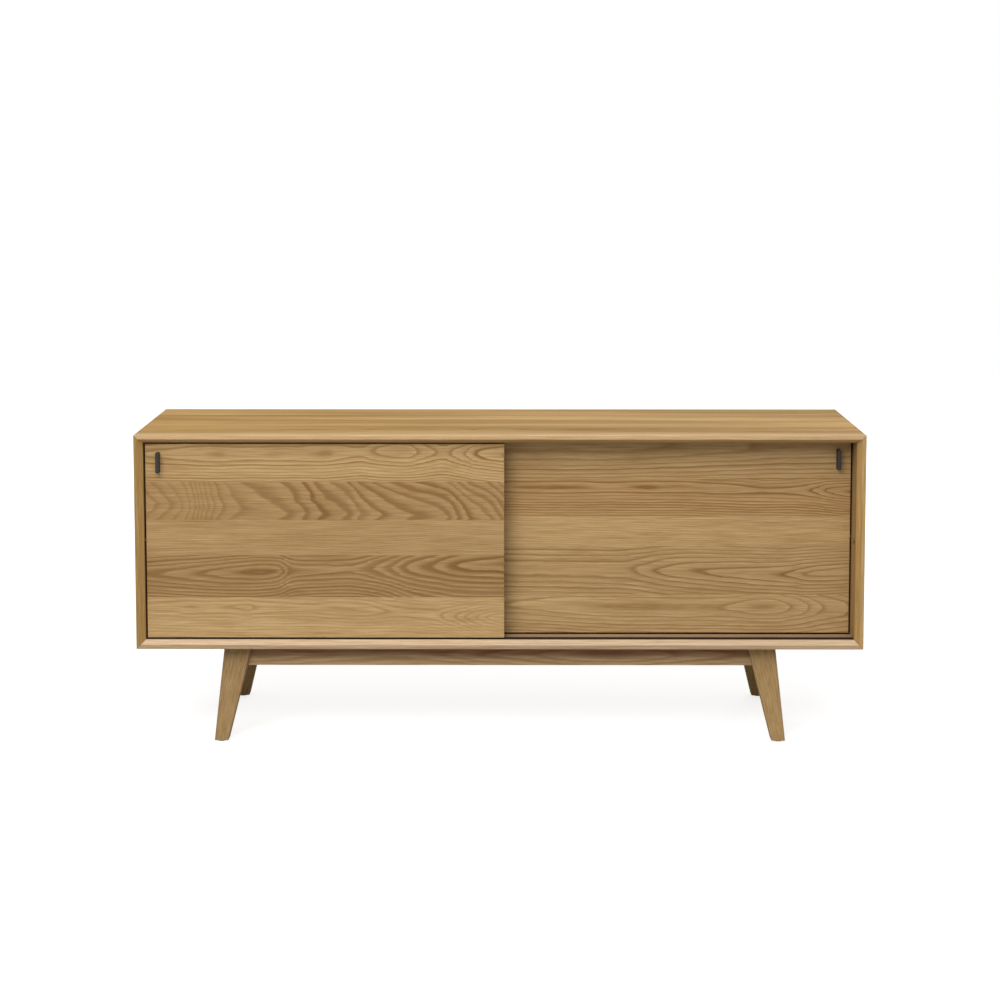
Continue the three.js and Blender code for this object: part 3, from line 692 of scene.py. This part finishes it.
def add_mesh(name, vertices, faces, material, body):
    """A new piece that rides on a body; vertices and faces are arrays."""
    mesh = bpy.data.meshes.new(name)
    mesh.from_pydata(vertices.tolist(), [], faces.tolist())
    mesh.validate()
    mesh.shade_smooth()
    mesh.set_sharp_from_angle(angle=SHARP_ANGLE)
    mesh.materials.append(material)
    piece = bpy.data.objects.new(name, mesh)
    bpy.context.scene.collection.objects.link(piece)
    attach(piece, body)
    return piece


def screw_head(radius, height):
    """A screw head as a polar grid: the height falls off as the square root of one minus CROWN_FALL times
    the squared share of the radius, and a cross is pressed in where one coordinate is small and the other
    inside the reach of an arm. Then a skirt goes straight down into the seat and closes in the middle."""
    share = np.linspace(0.0, 1.0, SCREW_RINGS)[:, None]
    angle = (np.arange(SCREW_TURNS) * 2 * math.pi / SCREW_TURNS)[None, :]
    x = share * np.cos(angle)
    y = share * np.sin(angle)
    aside = np.clip((CROSS_HALF_WIDTH - np.minimum(np.abs(x), np.abs(y))) / CROSS_SIDE_EDGE, 0.0, 1.0)
    outward = np.clip((CROSS_REACH - np.maximum(np.abs(x), np.abs(y))) / CROSS_END_EDGE, 0.0, 1.0)
    crown = height * np.sqrt(1.0 - CROWN_FALL * share**2) - aside * outward * height * CROSS_DEPTH
    skirt = np.full((1, SCREW_TURNS), -SCREW_SINK)
    middle = np.zeros((1, SCREW_TURNS))
    x = np.vstack([x, x[-1:], middle])
    y = np.vstack([y, y[-1:], middle])
    z = np.vstack([crown, skirt, skirt])
    return np.stack([x * radius, y * radius, z], -1)


def grid_faces(rows, turns):
    """Quads of a grid that closes on itself sideways."""
    row = np.arange(rows - 1)[:, None] * turns
    here = np.arange(turns)[None, :]
    after = (here + 1) % turns
    quads = np.stack([row + here, row + turns + here, row + turns + after, row + after], -1)
    return quads.reshape(-1, 4)


def add_screws(name, places, radius, height, towards, material, body):
    """Screw heads at several places, as one piece, whose crowns face the way of towards: each point of the
    head is measured off along three axes at right angles, and then moved to each place."""
    head = screw_head(radius, height)
    flat = head.reshape(-1, 3)
    normal = np.array(towards, float)
    first = np.array((1.0, 0.0, 0.0))
    second = np.cross(normal, first)
    shaped = flat[:, :1] * first + flat[:, 1:2] * second + flat[:, 2:] * normal
    faces = grid_faces(*head.shape[:2])
    all_points = np.concatenate([shaped + np.array(place) for place in places])
    all_faces = np.concatenate([faces + i * len(flat) for i in range(len(places))])
    piece = add_mesh(name, all_points, all_faces, material, body)
    weld = piece.modifiers.new("weld", "WELD")
    weld.merge_threshold = WELD_DISTANCE


class OakSettings(bpy.types.PropertyGroup):
    """Oak tones, as they show on the cabinet."""

    straw: bpy.props.FloatVectorProperty(
        name="Straw", description="Lightest boards", subtype="COLOR_GAMMA", min=0.0, max=1.0,
        default=(0.745, 0.628, 0.447))
    honey: bpy.props.FloatVectorProperty(
        name="Honey", description="Usual boards", subtype="COLOR_GAMMA", min=0.0, max=1.0,
        default=(0.71, 0.591, 0.415))
    tan: bpy.props.FloatVectorProperty(
        name="Tan", description="Darker boards", subtype="COLOR_GAMMA", min=0.0, max=1.0,
        default=(0.675, 0.551, 0.38))
    gold: bpy.props.FloatVectorProperty(
        name="Gold", description="Boards of the top", subtype="COLOR_GAMMA", min=0.0, max=1.0,
        default=(0.72, 0.59, 0.38))
    # Cream colours the pale strips, partly pale wood and partly painted light on the top's front edge and the
    # rails' feet
    cream: bpy.props.FloatVectorProperty(
        name="Cream", description="Pale front edge of the top", subtype="COLOR_GAMMA", min=0.0, max=1.0,
        default=(0.805, 0.69, 0.53))
    blush: bpy.props.FloatVectorProperty(
        name="Blush", description="Pale pinkish front edge of the case floor", subtype="COLOR_GAMMA",
        min=0.0, max=1.0, default=(0.82, 0.71, 0.58))
    # Bloom is partly paler wood and partly a painted highlight on the case floor's bevel, which faces up to
    # the light
    bloom: bpy.props.FloatVectorProperty(
        name="Bloom", description="Palest edge of the case floor", subtype="COLOR_GAMMA", min=0.0, max=1.0,
        default=(0.81, 0.73, 0.63))
    umber: bpy.props.FloatVectorProperty(
        name="Umber", description="Rails", subtype="COLOR_GAMMA", min=0.0, max=1.0,
        default=(0.6, 0.45, 0.34))
    grain: bpy.props.FloatVectorProperty(
        name="Grain", description="What the dark lines multiply the oak by", subtype="COLOR_GAMMA",
        min=0.0, max=1.0, default=(0.73, 0.635, 0.55))


class FittingSettings(bpy.types.PropertyGroup):
    """Colours of the metal, plastic and rubber."""

    coat: bpy.props.FloatVectorProperty(
        name="Pull coat", description="Charcoal coat of the pulls", subtype="COLOR_GAMMA", min=0.0, max=1.0,
        default=(0.12, 0.1, 0.075))
    zinc: bpy.props.FloatVectorProperty(
        name="Zinc", description="Plated screws, axles and pins", subtype="COLOR_GAMMA", min=0.0, max=1.0,
        default=(0.72, 0.73, 0.735))
    plastic: bpy.props.FloatVectorProperty(
        name="Plastic", description="Channels, housings and guides", subtype="COLOR_GAMMA", min=0.0, max=1.0,
        default=(0.16, 0.11, 0.075))
    nylon: bpy.props.FloatVectorProperty(
        name="Nylon", description="Rollers", subtype="COLOR_GAMMA", min=0.0, max=1.0,
        default=(0.2, 0.19, 0.18))
    rubber: bpy.props.FloatVectorProperty(
        name="Rubber", description="Glide pads", subtype="COLOR_GAMMA", min=0.0, max=1.0,
        default=(0.11, 0.1, 0.095))
    amber: bpy.props.FloatVectorProperty(
        name="Amber", description="Rubber of the buffers", subtype="COLOR_GAMMA", min=0.0, max=1.0,
        default=(0.44, 0.33, 0.2))


class StudioSettings(bpy.types.PropertyGroup):
    """Lights and camera."""

    ambient: bpy.props.FloatProperty(
        name="Ambient", description="Light from all round", min=0.0, max=2.0, default=0.38)
    key_power: bpy.props.FloatProperty(
        name="Key light", description="Large light in front, to the left", min=0.0, subtype="POWER",
        default=95.0)
    top_power: bpy.props.FloatProperty(
        name="Top light", description="Large light overhead", min=0.0, subtype="POWER", default=40.0)
    floor_glow: bpy.props.FloatProperty(
        name="Floor glow", description="White that the camera adds to the floor", min=0.0, max=1.0,
        default=0.78)
    focal_length: bpy.props.FloatProperty(
        name="Focal length", description="Camera lens in millimetres on a 36 mm sensor", min=20.0,
        max=300.0, default=76.325)
    camera_place: bpy.props.FloatVectorProperty(
        name="Camera place", description="Where the camera stands", subtype="TRANSLATION", unit="LENGTH",
        default=(0.0172, -4.8067, 1.3349))
    camera_pitch: bpy.props.FloatProperty(
        name="Camera pitch", description="How far the camera looks down", subtype="ANGLE",
        default=math.radians(5.358))
    camera_turn: bpy.props.FloatProperty(
        name="Camera turn", description="How far the camera looks to the left", subtype="ANGLE",
        default=math.radians(0.207))
    camera_shift: bpy.props.FloatProperty(
        name="Camera shift", description="Lens shift as a share of the frame", default=-0.1637)


class CABINET_OT_case(bpy.types.Operator):
    """Finish the mitred case walls and the back"""

    bl_idname = "cabinet.case"
    bl_label = "Finish Case"

    def execute(self, context):
        oak_settings = context.scene.cabinet_oak
        for wall in WALLS:
            node = wall.node
            low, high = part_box(node)
            inner, *others = plain_boards(low.y + EDGE_STRIP, high.y, count=4, seed=wall.seed,
                                          tones=("tan", "honey"), light=wall.light)
            edge = inner._replace(axis=low.y - EDGE_AXIS_AHEAD)
            # The front face and the bevel get their own tone and lightness, which paint the light and shade on
            # each
            strips = ((edge, low.y, wall.front), (edge, low.y + FRONT_SKIN, wall.bevel),
                      (inner, inner.start, wall.inner))
            boards = [board._replace(start=start, tone=tone, light=light)
                      for board, start, (tone, light) in strips]
            paint(oak(node + "_oak", oak_settings, wall.grain, (low, high), boards + others, wall.seed,
                      streaked=WALL_STREAKS), node)
        low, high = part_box("top_panel")
        boards = plain_boards(low.y, high.y, count=4, seed=11, tones=("gold",), strength=0.8, light=1.14)
        # The top's pale front strip is partly pale wood and partly painted light on its front edge
        paint(oak("top_panel_oak", oak_settings, "xyz", (low, high), boards, seed=11, slant=TOP_SLANT,
                  sapwood_and_painted_light=TOP_SAPWOOD_AND_PAINTED_LIGHT, streaked=TOP_STREAKS), "top_panel")
        low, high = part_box("back_panel")
        boards = plain_boards(low.x, high.x, count=7, seed=15, tones=("honey",), strength=0.5)
        paint(oak("back_veneer", oak_settings, "zxy", (low, high), boards, seed=15), "back_panel")
        return {"FINISHED"}


class CABINET_OT_doors(bpy.types.Operator):
    """Finish the two doors, board by board"""

    bl_idname = "cabinet.doors"
    bl_label = "Finish Doors"

    def execute(self, context):
        doors = (("left_door_panel", LEFT_DOOR_BOARDS, 21), ("right_door_panel", RIGHT_DOOR_BOARDS, 22))
        for node, boards, seed in doors:
            paint(oak(node + "_oak", context.scene.cabinet_oak, "xzy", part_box(node), boards, seed), node)
        return {"FINISHED"}


class CABINET_OT_interior(bpy.types.Operator):
    """Finish the divider, the shelves and their pins"""

    bl_idname = "cabinet.interior"
    bl_label = "Finish Interior"

    def execute(self, context):
        oak_settings = context.scene.cabinet_oak
        for node, grain, seed in (("centre_divider", "zyx", 31), ("left_shelf", "xyz", 32),
                                  ("right_shelf", "xyz", 33)):
            low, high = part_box(node)
            boards = plain_boards(low.y, high.y, count=3, seed=seed, tones=("honey", "straw"), strength=0.45)
            paint(oak(node + "_oak", oak_settings, grain, (low, high), boards, seed), node)
        pins = [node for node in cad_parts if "shelf_pin" in node]
        paint(plated_steel("pin_zinc", context.scene.cabinet_fittings.zinc), *pins)
        return {"FINISHED"}


class CABINET_OT_underframe(bpy.types.Operator):
    """Finish the legs, the rails and the glide pads"""

    bl_idname = "cabinet.underframe"
    bl_label = "Finish Underframe"

    def execute(self, context):
        oak_settings = context.scene.cabinet_oak
        # Each leg's lightness holds painted shade: the front left leg and the rear legs are painted darker
        for seed, (node, light) in enumerate(LEG_LIGHTS_AND_PAINTED_SHADE.items(), LEG_SEED):
            side = -1 if "left" in node else 1
            board = LEG_BOARD._replace(axis=side * LEG_BOARD.axis, light=light)
            paint(oak(node + "_oak", oak_settings, "zxy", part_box(node), (board,), seed,
                      lean=-side * LEG_LEAN), node)
        for seed, (node, grain) in enumerate(RAIL_GRAINS.items(), RAIL_SEED):
            low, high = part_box(node)
            board = RAIL_BOARD._replace(axis=(low.z + high.z) / 2)
            # Each rail's pale foot under a darker upper part is partly pale wood and partly painted shade from
            # the case above
            paint(oak(node + "_oak", oak_settings, grain, (low, high), (board,), seed,
                      sapwood_and_painted_light=RAIL_SAPWOOD_AND_PAINTED_SHADE, sharpness=RAIL_SAPWOOD_AND_PAINTED_SHADE_SHARPNESS), node)
        paint(rubber("pad_rubber", context.scene.cabinet_fittings.rubber), *nodes_ending("glide_pad"))
        return {"FINISHED"}


class CABINET_OT_running_gear(bpy.types.Operator):
    """Finish the channels, rollers, housings, axles, guides and buffers"""

    bl_idname = "cabinet.running_gear"
    bl_label = "Finish Running Gear"

    def execute(self, context):
        fittings = context.scene.cabinet_fittings
        paint(extruded_plastic("channel_plastic", fittings.plastic, "x"), *nodes_ending("channel"))
        paint(extruded_plastic("housing_plastic", fittings.plastic, "z"),
              *nodes_ending("housing", "top_guide"))
        paint(moulded_nylon("roller_nylon", fittings.nylon), *nodes_ending("roller"))
        paint(plated_steel("axle_steel", fittings.zinc), *nodes_ending("axle"))
        paint(amber_rubber("buffer_rubber", fittings.amber), *nodes_ending("buffer"))
        return {"FINISHED"}


class CABINET_OT_pulls(bpy.types.Operator):
    """Finish the pulls and their screws"""

    bl_idname = "cabinet.pulls"
    bl_label = "Finish Pulls"

    def execute(self, context):
        fittings = context.scene.cabinet_fittings
        paint(coated_steel("pull_coat", fittings.coat), "left_door_pull", "right_door_pull")
        screws = [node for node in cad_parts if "pull_screw" in node]
        paint(plated_steel("pull_screw_zinc", fittings.zinc), *screws)
        return {"FINISHED"}


class CABINET_OT_back_screws(bpy.types.Operator):
    """Add the small screws that hold the back in its rebate and to the divider"""

    bl_idname = "cabinet.back_screws"
    bl_label = "Add Back Screws"

    def execute(self, context):
        low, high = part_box("back_panel")
        left, right = low.x + BACK_SCREW_EDGE, high.x - BACK_SCREW_EDGE
        bottom, top = low.z + BACK_SCREW_EDGE, high.z - BACK_SCREW_EDGE
        across = np.linspace(left, right, round((right - left) / BACK_SCREW_PITCH) + 1)
        upward = np.linspace(bottom, top, round((top - bottom) / BACK_SCREW_PITCH) + 1)
        places = [(x, high.y, z) for z in (bottom, top) for x in across]
        places += [(x, high.y, z) for x in (left, right) for z in upward[1:-1]]
        places += [(0.0, high.y, z) for z in upward[1:-1]]
        zinc = plated_steel("back_screw_zinc", context.scene.cabinet_fittings.zinc)
        add_screws("back_panel_screws", places, BACK_SCREW_RADIUS, BACK_SCREW_HEIGHT, (0.0, 1.0, 0.0),
                   zinc, "case")
        return {"FINISHED"}


class CABINET_OT_rail_screws(bpy.types.Operator):
    """Add the screws that hold the underframe to the case, from below"""

    bl_idname = "cabinet.rail_screws"
    bl_label = "Add Rail Screws"

    def execute(self, context):
        places = []
        for node, grain in RAIL_GRAINS.items():
            low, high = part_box(node)
            middle = (low + high) / 2
            offsets = (-RAIL_SCREW_SPACING, 0.0, RAIL_SCREW_SPACING) if grain.startswith("x") else (0.0,)
            places += [(middle.x + offset, middle.y, low.z) for offset in offsets]
        zinc = plated_steel("rail_screw_zinc", context.scene.cabinet_fittings.zinc)
        add_screws("rail_screws", places, RAIL_SCREW_RADIUS, RAIL_SCREW_HEIGHT, (0.0, 0.0, -1.0),
                   zinc, "case")
        return {"FINISHED"}


class CABINET_OT_studio(bpy.types.Operator):
    """Add the floor, the lights, the white surroundings and the camera"""

    bl_idname = "cabinet.studio"
    bl_label = "Add Studio"

    def execute(self, context):
        studio = context.scene.cabinet_studio
        scene = context.scene
        scene.view_settings.view_transform = "Standard"
        self.add_floor(scene, studio)
        self.add_world(scene, studio)
        self.add_light(scene, KEY_LIGHT, studio.key_power)
        self.add_light(scene, TOP_LIGHT, studio.top_power)
        self.add_light(scene, REAR_LIGHT, studio.key_power * REAR_POWER_SHARE)
        self.add_camera(scene, studio)
        return {"FINISHED"}

    def add_floor(self, scene, studio):
        """A flat square, matt and glowing, that turns white away from the cabinet."""
        corners = np.array([(-1, -1, 0), (1, -1, 0), (1, 1, 0), (-1, 1, 0)], float) * FLOOR_SIZE / 2
        mesh = bpy.data.meshes.new("floor")
        mesh.from_pydata(corners.tolist(), [], [(0, 1, 2, 3)])
        floor = bpy.data.objects.new("floor", mesh)
        scene.collection.objects.link(floor)
        graph = Graph(bpy.data.materials.new("floor_white"))
        axes = graph.axes()
        distance = graph.maths("SQRT", axes["x"] * axes["x"] + axes["y"] * axes["y"])
        far = graph.clamped((distance - FLOOR_WHITE_START) / FLOOR_WHITE_WIDTH)
        glow = graph.seen_directly() * (far * (1.0 - studio.floor_glow) + studio.floor_glow)
        matt = graph.value("ShaderNodeBsdfDiffuse", {"Color": FLOOR_GREY})
        glowing = graph.value("ShaderNodeEmission", {"Strength": glow})
        both = graph.value("ShaderNodeAddShader", {0: matt, 1: glowing})
        graph.node("ShaderNodeOutputMaterial", {"Surface": both})
        mesh.materials.append(graph.owner)

    def add_world(self, scene, studio):
        """Surroundings that look white and light the cabinet less than white would."""
        graph = Graph(bpy.data.worlds.new("studio"))
        scene.world = graph.owner
        light = graph.value("ShaderNodeBackground", {"Color": WHITE, "Strength": studio.ambient})
        white = graph.value("ShaderNodeBackground", {"Color": WHITE, "Strength": 1.0})
        both = graph.value("ShaderNodeMixShader", {0: graph.seen_directly(), 1: light, 2: white})
        graph.node("ShaderNodeOutputWorld", {"Surface": both})

    def add_light(self, scene, light, power):
        """A rectangular lamp at the light's place, turned to its target."""
        lamp = bpy.data.lights.new(light.name, "AREA")
        lamp.shape = "RECTANGLE"
        lamp.size, lamp.size_y = light.size
        lamp.energy = power
        holder = bpy.data.objects.new(light.name, lamp)
        holder.location = light.place
        aim = Vector(np.subtract(light.target, light.place))
        holder.rotation_euler = aim.to_track_quat("-Z", "Y").to_euler()
        scene.collection.objects.link(holder)

    def add_camera(self, scene, studio):
        lens = bpy.data.cameras.new("camera")
        lens.lens = studio.focal_length
        lens.sensor_width = SENSOR_WIDTH
        lens.shift_y = studio.camera_shift
        camera = bpy.data.objects.new("camera", lens)
        camera.location = studio.camera_place
        camera.rotation_euler = (math.pi / 2 - studio.camera_pitch, 0.0, studio.camera_turn)
        scene.collection.objects.link(camera)
        scene.camera = camera


class CABINET_PT_looks(bpy.types.Panel):
    """The cabinet's finishes and its studio"""

    bl_idname = "CABINET_PT_looks"
    bl_label = "Cabinet"
    bl_space_type = "VIEW_3D"
    bl_region_type = "UI"
    bl_category = "Cabinet"

    def draw(self, context):
        scene = context.scene
        for group in (scene.cabinet_oak, scene.cabinet_fittings, scene.cabinet_studio):
            box = self.layout.box()
            for name in type(group).__annotations__:
                box.prop(group, name)
        for operator in OPERATORS:
            self.layout.operator(operator.bl_idname)


SETTINGS = {"cabinet_oak": OakSettings, "cabinet_fittings": FittingSettings, "cabinet_studio": StudioSettings}
OPERATORS = (
    CABINET_OT_case,
    CABINET_OT_doors,
    CABINET_OT_interior,
    CABINET_OT_underframe,
    CABINET_OT_running_gear,
    CABINET_OT_pulls,
    CABINET_OT_back_screws,
    CABINET_OT_rail_screws,
    CABINET_OT_studio,
)
CLASSES = (*SETTINGS.values(), *OPERATORS, CABINET_PT_looks)


def register():
    for group in CLASSES:
        bpy.utils.register_class(group)
    for name, group in SETTINGS.items():
        setattr(bpy.types.Scene, name, bpy.props.PointerProperty(type=group))


def unregister():
    for name in SETTINGS:
        delattr(bpy.types.Scene, name)
    for group in reversed(CLASSES):
        bpy.utils.unregister_class(group)


def main():
    register()
    bpy.ops.cabinet.case()
    bpy.ops.cabinet.doors()
    bpy.ops.cabinet.interior()
    bpy.ops.cabinet.underframe()
    bpy.ops.cabinet.running_gear()
    bpy.ops.cabinet.pulls()
    bpy.ops.cabinet.back_screws()
    bpy.ops.cabinet.rail_screws()
    bpy.ops.cabinet.studio()


if __name__ == "__main__":
    main()
